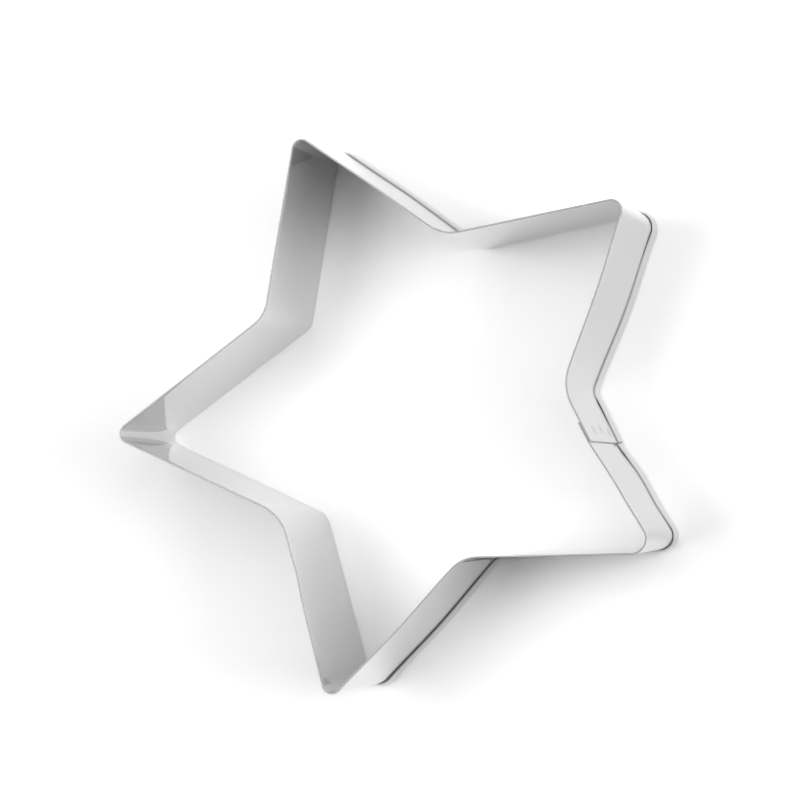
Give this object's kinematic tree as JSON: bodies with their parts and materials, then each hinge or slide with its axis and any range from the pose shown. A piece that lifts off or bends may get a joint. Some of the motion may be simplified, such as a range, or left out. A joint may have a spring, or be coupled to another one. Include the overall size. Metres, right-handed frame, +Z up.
{
  "type": "cookie cutter",
  "caption": "Star-shaped cookie cutter bent from a thin stainless steel strip, with a folded hem along its foot edge and a lapped, spot-welded joint.",
  "frame": {"origin": "middle of the star's outline on the flat underside of the hem, where the cutter lies on a table", "axes": "+Z up, from the folded hem to the cutting edge; +Y towards the star's far tip; +X to the right, towards the arm at the right of the far tip"},
  "size_m": [0.0968, 0.094, 0.025],
  "materials": {
    "strip_steel": "bright rolled stainless strip, smooth on both faces",
    "weld_steel": "stainless steel dulled and dimpled by the welding electrodes"
  },
  "bodies": {
    "root": {"cutter_strip": "strip_steel", "lower_spot_weld": "weld_steel", "middle_spot_weld": "weld_steel", "upper_spot_weld": "weld_steel"}
  },
  "joints": []
}
